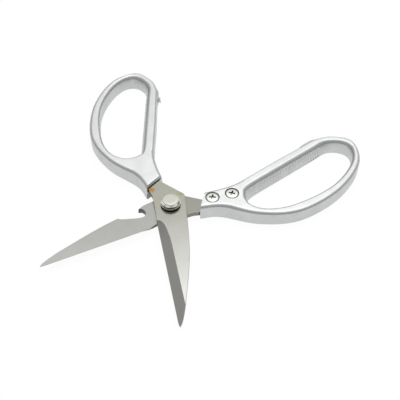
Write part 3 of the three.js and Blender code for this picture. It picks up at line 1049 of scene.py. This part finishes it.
class SCISSORS_OT_blades(bpy.types.Operator):
    """Two ground steel blades; the lower one has a bottle-opener notch in its back"""

    bl_idname = "scissors.blades"
    bl_label = "Add blades"

    def execute(self, context):
        settings = context.scene.scissors
        ground, sheared = ground_edge(settings.colours), sheared_steel(settings.colours)
        for half in HALVES:
            name = half + "_ground_blade"
            finishes = [blade_steel(half, settings.colours), ground, sheared]
            points, faces, finish = blade_surface(half, settings.blade.bevel_width * TO_MM)
            obj = add_piece(name, mesh_of(name, placed(points, half), faces, finish), finishes)
            points, faces = blade_holes()
            cut(obj, "holes", placed(points, half), faces)
            if half == "lower":
                points, faces = opener_notch()
                cut(obj, "opener_notch", placed(points, half), faces, finish=2)
            shade(obj, 14)
            lay_grain(obj, half)
            hand_over(obj, half + "_half", half + "_blade")
        return {"FINISHED"}


# Screws, pivot and bumpers


def screw_profile():
    """Half section of a tang screw: shank, seat and head. The crown falls with the square of the radius, and
    near its rim with a steep twelfth power."""
    r = np.linspace(SCREW_RIM, 0, 16)
    dome = np.column_stack([r, SCREW_CROWN - 0.1 * (r / SCREW_RIM) ** 2 - 0.2 * (r / SCREW_RIM) ** 12])
    shank = [(0, -2.85), (1.6, -2.85), (2.0, -2.45), (2.0, 2.38)]
    head = [(3.45, 2.38), (3.7, 2.58), (3.7, 4.6)]
    return np.vstack([shank, head, dome])


def cross_recess(turn):
    """Cross recess of a screw head: two tapered bars, wide at the crown and narrow at the bottom."""
    rim = np.array([(-2.0, -0.55), (2.0, -0.55), (2.0, 0.55), (-2.0, 0.55)])
    low = rim * np.array([0.9, 0.85])
    levels = np.array([SCREW_CROWN - RECESS_DEPTH, SCREW_CROWN + 0.3])
    z = np.broadcast_to(levels[:, None, None], (2, 4, 1))
    faces = [*grid_quads(2, 4, False, True).tolist(), [3, 2, 1, 0], [4, 5, 6, 7]]
    bars = []
    for a in (turn, turn + math.pi / 2):
        spin = np.array([[math.cos(a), math.sin(a)], [-math.sin(a), math.cos(a)]])
        bars.append((np.concatenate([np.stack([low @ spin, rim @ spin]), z], -1), faces))
    return joined(bars)


def clear_recess_floor(obj):
    """Only the recess's walls keep the darker copy of the plating, painted shade: faces that point up have
    the head's own finish.
    """
    for polygon in obj.data.polygons:
        if polygon.normal.z >= 0.7:
            polygon.material_index = 0


class SCISSORS_OT_tang_screws(bpy.types.Operator):
    """Four cross-head screws that hold the tangs in the handles"""

    bl_idname = "scissors.tang_screws"
    bl_label = "Add tang screws"

    def execute(self, context):
        colour = context.scene.scissors.colours.screw
        finishes = [
            plated_steel("screw_steel", colour, 0.16, 0.26),
            # A copy of the plating at 0.3 of its colour: painted shade on the recess's walls
            plated_steel("recess_steel", tint(colour, 0.3), 0.4, 0.55),
        ]
        for place, spot in SCREW_PLACES.items():
            points, faces = moved(turned(screw_profile()), *spot)
            pattern = add_piece("screw_pattern", mesh_of("screw_pattern", points * MM, faces), finishes)
            points, faces = moved(cross_recess(SCREW_TURNS[place]), *spot)
            cut(pattern, "recess", points * MM, faces, crossing=True, finish=1)
            clear_recess_floor(pattern)
            shade(pattern, 30)
            for half in HALVES:
                obj = lay_in_half(pattern, f"{half}_tang_screw_{place}", half)
                hand_over(obj, half + "_half", f"{half}_handle_screw_{place}")
            discard(pattern)
        return {"FINISHED"}


# Slot, corner rounding and half section (radius, height) of each turned piece of the pivot
PIVOT_PIECES = {
    "pivot_button_screw": (
        "pivot_steel", 0.12,
        [(0, -3.2), (2.0, -3.2), (2.0, 4.79), (4.4, 4.79), (4.4, 5.22), (5.5, 5.28), (5.5, 5.5), (4.9, 7.0),
         (4.65, 7.25), (3.4, 7.29), (0, 7.29)],
    ),
    "pivot_washer": (
        "pivot_steel", 0.2,
        [(3.4, 4.2), (3.4, 3.62), (5.85, 3.62), (5.85, 4.62), (3.4, 4.62), (3.4, 4.2)],
    ),
    # The spring washer's near-black finish is painted shade of the gap under the washer
    "pivot_spring_washer": (
        "spring_steel", 0.12,
        [(3.4, 3.3), (3.4, 3.12), (5.25, 2.95), (5.25, 3.37), (3.4, 3.54), (3.4, 3.3)],
    ),
    "pivot_rear_washer": (
        "pivot_steel", 0.2,
        [(3.4, -3.3), (3.4, -3.73), (6.5, -3.73), (6.5, -2.93), (3.4, -2.93), (3.4, -3.3)],
    ),
    "pivot_barrel_nut": (
        "pivot_steel", 0.25,
        [(0, -5), (5.4, -5), (5.7, -4.7), (5.7, -3.81), (3.2, -3.81), (3.2, 4.71), (2.2, 4.71), (2.2, -3.4),
         (0, -3.4)],
    ),
}


def pivot_finishes(colours):
    """The finishes of each piece of the pivot."""
    plain = plated_steel("pivot_steel", colours.face, 0.2, 0.3)
    # Darker and brighter copies of the cone's plating: the bright one is a painted highlight on the cone, the
    # darker one paints shade in the groove below it and also colours the washer
    dull = plated_steel("washer_steel", tint(colours.pivot, 0.68), 0.28, 0.4)
    bright = plated_steel("pivot_bright_steel", colours.pivot, 0.28, 0.4)
    return {
        "pivot_button_screw": [turned_face(colours), bright, dull],
        "pivot_washer": [dull],
        # Near-black: painted shade of the gap under the washer
        "pivot_spring_washer": [plated_steel("spring_steel", colours.spring, 0.35, 0.5)],
        "pivot_rear_washer": [plain],
        "pivot_barrel_nut": [plain],
    }


def paint_button(obj):
    """The button's flat end is lathe-faced; its cone takes a brighter copy of the plating, a painted
    highlight, and the groove below it a darker copy, painted shade.
    """
    for polygon in obj.data.polygons:
        flat = polygon.normal.z > 0.9 and polygon.center.z > BUTTON_END * MM
        polygon.material_index = 0 if flat else 1 if polygon.center.z > BUTTON_CONE * MM else 2


def spanner_holes():
    """Two blind holes in the barrel nut's flange."""
    hole = turned([(0, -6), (0.8, -6), (0.8, -4.2), (0, -4.2)], 48)
    return joined(moved(hole, side * SPANNER_REACH, 0, MEETING_LEVEL) for side in (-1, 1))


class SCISSORS_OT_pivot(bpy.types.Operator):
    """Pivot: a button screw, its washers and spring washer, and a barrel nut with two spanner holes"""

    bl_idname = "scissors.pivot"
    bl_label = "Add pivot"

    def execute(self, context):
        finishes = pivot_finishes(context.scene.scissors.colours)
        for node, (slot, radius, profile) in PIVOT_PIECES.items():
            name = node.replace("pivot_", "turned_")
            points, faces = moved(turned(rounded(profile, radius), 128), 0, 0, MEETING_LEVEL)
            obj = add_piece(name, mesh_of(name, points * MM, faces), finishes[node])
            if node == "pivot_button_screw":
                paint_button(obj)
            if node == "pivot_barrel_nut":
                points, faces = spanner_holes()
                cut(obj, "spanner_holes", points * MM, faces)
            shade(obj, 30)
            hand_over(obj, PIVOT_BODY, node)
        return {"FINISHED"}


class SCISSORS_OT_bumpers(bpy.types.Operator):
    """Two plastic stop bumpers pressed into the handles' inner sides"""

    bl_idname = "scissors.bumpers"
    bl_label = "Add stop bumpers"

    def execute(self, context):
        finish = bumper_plastic(context.scene.scissors.colours)
        profile = rounded([(0, 3.29), (1.2, 3.29), (1.2, 0.79), (2.1, 0.79), (2.1, 0.1), (0, 0.1)], 0.35)
        points, faces = at_bumper(turned(profile, 64))
        for half in HALVES:
            name = half + "_bumper_pin"
            obj = add_piece(name, mesh_of(name, placed(points, half), faces), [finish])
            shade(obj, 35)
            hand_over(obj, half + "_half", half + "_stop_bumper")
        return {"FINISHED"}


# Stage


def floor_finish():
    """White paper: it glows white to the camera and in reflections, and keeps a faint soft shadow."""
    t = finish_tree("white_floor")
    path = t.add("LightPath").outputs
    seen = t.maths("MAXIMUM", path["Is Camera Ray"], path["Is Glossy Ray"])
    seen = t.maths("MAXIMUM", seen, path["Is Transmission Ray"])
    paper = t.add("BsdfDiffuse", Color=grey(0.9))
    strength = t.maths("ADD", t.maths("MULTIPLY", path["Is Camera Ray"], 0.12), 0.91)
    glow = t.add("Emission", Color=grey(1.0), Strength=strength)
    mixed = t.add("MixShader", Fac=t.maths("MULTIPLY", seen, 0.92))
    t.put(mixed.inputs[1], paper.outputs[0])
    t.put(mixed.inputs[2], glow.outputs[0])
    return t.surface(mixed)


def direction(azimuth, elevation):
    """Unit vector toward a place on the sky. Azimuth 0 stands on -y and 90 on +x."""
    a, e = math.radians(azimuth), math.radians(elevation)
    return Vector((math.sin(a) * math.cos(e), -math.cos(a) * math.cos(e), math.sin(e)))


def studio_world(stage):
    """Soft studio surround: one wide glow behind and above the scissors that fades to a dim room. The
    brightness falls with the angle away from the middle of the glow."""
    world = bpy.data.worlds.new("studio")
    t = Tree(world)
    middle = direction(stage.glow_azimuth, stage.glow_elevation)
    away = t.maths("ARCCOSINE", t.measure("DOT_PRODUCT", t.add("TexCoord").outputs["Generated"], middle))
    turns = t.maths("DIVIDE", away, math.pi)
    glow = t.ramp(turns, *((angle / 180, grey(level)) for angle, level in GLOW_FADE))
    light = t.add("Background", Color=glow, Strength=stage.glow_strength)
    t.add("OutputWorld", Surface=light.outputs[0])
    return world


def stand(obj, spot, way):
    """Puts a lamp or camera at a spot, looking back along the way."""
    obj.location = spot
    obj.rotation_euler = way.to_track_quat("Z", "Y").to_euler()
    bpy.context.scene.collection.objects.link(obj)


def softbox(name, way, distance, side, power):
    """Square area lamp that faces the pivot."""
    data = bpy.data.lights.new(name, "AREA")
    data.size = side
    data.energy = power
    stand(bpy.data.objects.new(name, data), way * distance, way)


def photo_camera(stage):
    """The camera of the photo, set by its direction from the point that it looks at."""
    data = bpy.data.cameras.new("photo_camera")
    data.sensor_fit = "HORIZONTAL"
    data.sensor_width = 36
    data.lens = stage.lens
    data.clip_start = 0.01
    camera = bpy.data.objects.new("photo_camera", data)
    way = direction(stage.azimuth, stage.elevation)
    stand(camera, Vector(stage.target) + way * stage.distance, way)
    return camera


class SCISSORS_OT_stage(bpy.types.Operator):
    """White floor, soft studio light and the camera"""

    bl_idname = "scissors.stage"
    bl_label = "Add stage"

    def execute(self, context):
        scene = context.scene
        stage = scene.scissors.stage
        t = np.linspace(-FLOOR_HALF, FLOOR_HALF, 5)
        x, y = np.meshgrid(t, t, indexing="ij")
        points = np.stack([x, y, np.full_like(x, FLOOR_LEVEL)], -1)
        mesh = mesh_of("studio_floor", points, grid_quads(5, 5, False, False))
        floor = add_piece("studio_floor", mesh, [floor_finish()])
        scene.world = studio_world(stage)
        glow = direction(stage.glow_azimuth, stage.glow_elevation)
        softbox("top_softbox", glow, distance=1.4, side=0.7, power=0.2)
        scene.camera = photo_camera(stage)
        scene.view_settings.view_transform = "Standard"
        return {"FINISHED"}


# Add-on


PIECES = (
    SCISSORS_OT_handles,
    SCISSORS_OT_blades,
    SCISSORS_OT_tang_screws,
    SCISSORS_OT_pivot,
    SCISSORS_OT_bumpers,
    SCISSORS_OT_stage,
)


class SCISSORS_PT_panel(bpy.types.Panel):
    """Lists the pieces, sizes and colours of the scissors"""

    bl_idname = "SCISSORS_PT_panel"
    bl_label = "Kitchen scissors"
    bl_space_type = "VIEW_3D"
    bl_region_type = "UI"
    bl_category = "Scissors"

    def draw(self, context):
        settings = context.scene.scissors
        for operator in PIECES:
            self.layout.operator(operator.bl_idname)
        for group in (settings.handle, settings.blade, settings.colours, settings.stage):
            box = self.layout.box()
            for key in group.bl_rna.properties.keys():
                if key not in ("rna_type", "name"):
                    box.prop(group, key)


CLASSES = (
    HandleSizes,
    BladeSizes,
    FinishColours,
    StageSettings,
    ScissorsSettings,
    *PIECES,
    SCISSORS_PT_panel,
)


def register():
    for cls in CLASSES:
        bpy.utils.register_class(cls)
    bpy.types.Scene.scissors = bpy.props.PointerProperty(type=ScissorsSettings)


def unregister():
    del bpy.types.Scene.scissors
    for cls in reversed(CLASSES):
        bpy.utils.unregister_class(cls)


def main():
    register()
    bpy.ops.scissors.handles()
    bpy.ops.scissors.blades()
    bpy.ops.scissors.tang_screws()
    bpy.ops.scissors.pivot()
    bpy.ops.scissors.bumpers()
    bpy.ops.scissors.stage()


if __name__ == "__main__":
    main()
